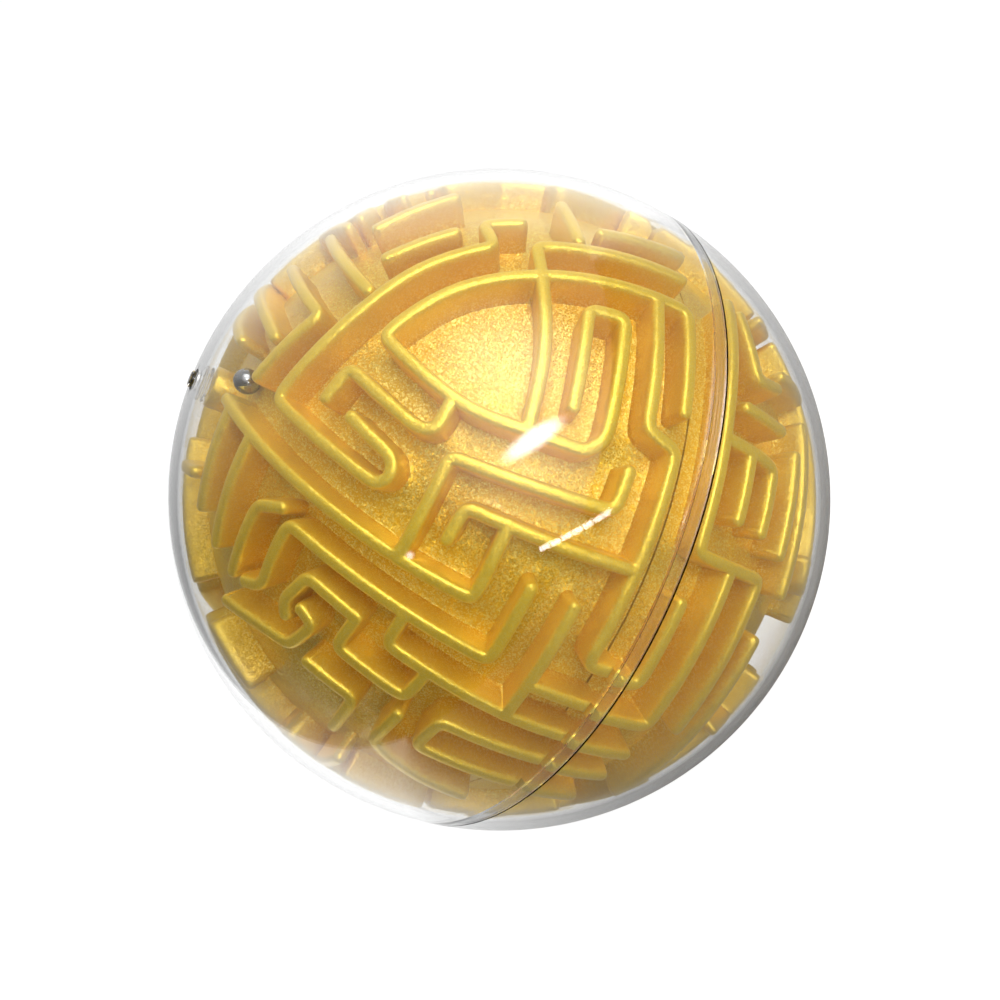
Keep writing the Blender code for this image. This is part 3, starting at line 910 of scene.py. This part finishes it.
CAMERA_AZIMUTH = 20.0
CAMERA_ELEVATION = 25.9
CAMERA_ROLL = -68.56
CAMERA_DISTANCE = 3.149   # in ball radii
CAMERA_LENS = 35.64
CAMERA_SHIFT = (0.0011, -0.0007)
LAMP_DISTANCE = 0.55
SOFTBOX_FALLOFF = 2.0     # power by which a lamp dims from its middle to its edge
PANE_BAR = 0.1            # share of a pane that its dark bar takes
LAMPS = [    # name, degrees right and up of the camera, roll, size, power, panes, seen in mirrors
    ("key_softbox", 10.5, 17.5, 34, (0.26, 0.075), 1.2, 0, True),
    ("upper_softbox", 2, 45, 0, (0.6, 0.5), 3.0, 0, False),
    ("strip_window", 23, -9, 29, (0.24, 0.014), 0.13, 7, True),
    ("left_glint", -27, -16, 0, (0.03, 0.03), 0.03, 0, True),
    ("right_glint", 32, -23, 0, (0.016, 0.012), 0.012, 0, True),
]
KEY_PLACE = (10, 20)      # degrees right and up of the camera
KEY_GLOW = 1.6            # of the surroundings about the key lamp
SKY_LEVEL = 0.5           # over the camera
LOW_LEVEL = 0.08          # everywhere
BACK_LEVEL = 0.62         # behind the ball
CAUGHT_LEVEL = 0.6        # for light mirrored more than once between the shell's faces
FLOOR_REACH = 20
FLOOR_GLOW = 0.9          # of the floor behind the ball
GLOW_EDGE = (-0.03, 0.09)    # distances behind the ball's foot between which it rises


def studio_direction(right, up, camera_axes):
    """Direction from the ball, in degrees to the right of the camera and above it."""
    across, over, back = camera_axes
    level = back * math.cos(math.radians(right)) + across * math.sin(math.radians(right))
    return (level * math.cos(math.radians(up)) + over * math.sin(math.radians(up))).normalized()


def softbox(name, direction, over, roll, size, power, panes):
    """A lamp that faces the ball: brightest in its middle, or a row of even panes."""
    lamp = bpy.data.lights.new(name, "AREA")
    lamp.shape = "RECTANGLE"
    lamp.size, lamp.size_y = size
    lamp.energy = power
    lamp.use_nodes = True
    tree = lamp.node_tree
    parts = add_node(tree, "ShaderNodeSeparateXYZ")
    join(tree, add_node(tree, "ShaderNodeNewGeometry").outputs["Parametric"], parts.inputs[0])
    if panes:
        place = maths(tree, "FRACT", maths(tree, "MULTIPLY", parts.outputs["X"], float(panes)))
        level = maths(tree, "GREATER_THAN", place, PANE_BAR)
    else:
        sides = [maths(tree, "MULTIPLY_ADD", parts.outputs[axis], 2.0, -1.0) for axis in "XY"]
        squares = maths(tree, "ADD", *[maths(tree, "MULTIPLY", side, side) for side in sides])
        level = maths(tree, "POWER", spread(tree, squares, 0.0, 1.0, 1.0, 0.0), SOFTBOX_FALLOFF)
    join(tree, level, tree.nodes["Emission"].inputs["Strength"])
    holder = bpy.data.objects.new(name, lamp)
    bpy.context.scene.collection.objects.link(holder)
    x = over.cross(direction).normalized()
    basis = Matrix((x, direction.cross(x), direction)).transposed()
    basis = basis @ Matrix.Rotation(math.radians(roll), 3, "Z")
    holder.matrix_world = Matrix.Translation(direction * LAMP_DISTANCE) @ basis.to_4x4()
    return holder


class MAZEBALL_OT_stage(bpy.types.Operator):
    """Set the floor, the daylight, the lamps and the camera"""
    bl_idname = "maze_ball.stage"
    bl_label = "Stage"

    def execute(self, context):
        axes = add_camera(context)
        add_floor(context.scene.maze_ball_colours.stage, axes)
        add_daylight(context.scene, axes)
        for name, right, up, roll, size, power, panes, mirrored_too in LAMPS:
            direction = studio_direction(right, up, axes)
            lamp = softbox(name, direction, axes[1], roll, size, power, panes)
            lamp.visible_glossy = mirrored_too
        context.scene.view_settings.view_transform = "Standard"
        return {"FINISHED"}


def add_camera(context):
    """The camera, and the world directions to its right, over it and behind it."""
    back = unit(CAMERA_ELEVATION, CAMERA_AZIMUTH)
    lens = bpy.data.cameras.new("camera")
    lens.lens = CAMERA_LENS
    lens.sensor_width = 36
    lens.clip_start = 0.01
    lens.clip_end = 100
    lens.shift_x, lens.shift_y = CAMERA_SHIFT
    holder = bpy.data.objects.new("camera", lens)
    context.scene.collection.objects.link(holder)
    basis = back.to_track_quat("Z", "Y").to_matrix() @ Matrix.Rotation(math.radians(CAMERA_ROLL), 3, "Z")
    holder.matrix_world = Matrix.Translation(back * CAMERA_DISTANCE * SHELL_OUTER) @ basis.to_4x4()
    context.scene.camera = holder
    return basis.col[0], basis.col[1], basis.col[2]


def lift(tree, level, shown):
    """The shown value in a straight view, else the level, raised where light is mirrored often."""
    path = add_node(tree, "ShaderNodeLightPath")
    mirrored = path.outputs["Glossy Depth"]
    caught = maths(tree, "MULTIPLY", maths(tree, "GREATER_THAN", mirrored, 1.5), CAUGHT_LEVEL)
    level = maths(tree, "MAXIMUM", level, caught)
    straight = maths(tree, "LESS_THAN", maths(tree, "ADD", path.outputs["Diffuse Depth"], mirrored), 0.5)
    return maths(tree, "ADD", maths(tree, "MULTIPLY", straight, shown),
                 maths(tree, "MULTIPLY", maths(tree, "SUBTRACT", 1.0, straight), level))


def add_floor(colour, axes):
    """A wide pale floor that glows enough to stay even, brightest behind the ball."""
    deselect_all()
    bpy.ops.mesh.primitive_circle_add(vertices=96, radius=FLOOR_REACH, fill_type="NGON",
                                      location=(0, 0, CAD_LOW.z))
    floor = bpy.context.object
    floor.name = "floor"
    made, tree, shader = new_material("pale_floor")
    shader.inputs["Base Color"].default_value = (*colour, 1)
    shader.inputs["Roughness"].default_value = 0.9
    shader.inputs["Emission Color"].default_value = (1, 1, 1, 1)
    depth = add_node(tree, "ShaderNodeVectorMath", operation="DOT_PRODUCT")
    join(tree, object_place(tree), depth.inputs[0])
    depth.inputs[1].default_value = Vector((-axes[2].x, -axes[2].y, 0)).normalized()
    glow = spread(tree, depth.outputs["Value"], *GLOW_EDGE, 0.0, FLOOR_GLOW)
    join(tree, lift(tree, glow, 0.95), shader.inputs["Emission Strength"])
    floor.data.materials.append(made)


def add_daylight(scene, axes):
    """White surroundings that light the ball mostly from above the camera and from behind."""
    world = bpy.data.worlds.new("daylight")
    world.use_nodes = True
    tree = world.node_tree
    outwards = add_node(tree, "ShaderNodeTexCoord").outputs["Generated"]

    def towards(direction, low, high, level):
        dot = add_node(tree, "ShaderNodeVectorMath", operation="DOT_PRODUCT")
        join(tree, outwards, dot.inputs[0])
        dot.inputs[1].default_value = direction
        return maths(tree, "MULTIPLY", spread(tree, dot.outputs["Value"], low, high), level)

    glow = towards(studio_direction(*KEY_PLACE, axes), 0.72, 1.0, math.sqrt(KEY_GLOW))
    level = maths(tree, "MULTIPLY_ADD", glow, glow, LOW_LEVEL)
    level = maths(tree, "ADD", level, towards(axes[1], -0.15, 0.6, SKY_LEVEL))
    behind = maths(tree, "MULTIPLY", towards(-axes[2], 0.0, 0.25, BACK_LEVEL),
                   towards(axes[0], -0.8, -0.3, 1.0))
    level = maths(tree, "ADD", level, behind)
    shown = lift(tree, level, 1.02)
    join(tree, shown, tree.nodes["Background"].inputs["Strength"])
    tree.nodes["Background"].inputs["Color"].default_value = (1, 1, 1, 1)
    scene.world = world


class MAZEBALL_PT_panel(bpy.types.Panel):
    """The maze ball's pieces, sizes and colours"""
    bl_label = "Maze Ball"
    bl_idname = "MAZEBALL_PT_panel"
    bl_space_type = "VIEW_3D"
    bl_region_type = "UI"
    bl_category = "Maze Ball"

    def draw(self, context):
        layout = self.layout
        for group in (context.scene.maze_ball_sizes, context.scene.maze_ball_colours):
            box = layout.box()
            for name in group.__annotations__:
                box.prop(group, name)
        for operator in OPERATORS:
            layout.operator(operator.bl_idname)


OPERATORS = (MAZEBALL_OT_core, MAZEBALL_OT_marble, MAZEBALL_OT_pins, MAZEBALL_OT_shell, MAZEBALL_OT_stage)
CLASSES = (MazeBallSizes, MazeBallColours, *OPERATORS, MAZEBALL_PT_panel)


def register():
    for made in CLASSES:
        bpy.utils.register_class(made)
    bpy.types.Scene.maze_ball_sizes = PointerProperty(type=MazeBallSizes)
    bpy.types.Scene.maze_ball_colours = PointerProperty(type=MazeBallColours)


def unregister():
    del bpy.types.Scene.maze_ball_colours
    del bpy.types.Scene.maze_ball_sizes
    for made in reversed(CLASSES):
        bpy.utils.unregister_class(made)


def main():
    register()
    bpy.ops.maze_ball.core()
    bpy.ops.maze_ball.marble()
    bpy.ops.maze_ball.pins()
    bpy.ops.maze_ball.shell()
    bpy.ops.maze_ball.stage()


if __name__ == "__main__":
    main()
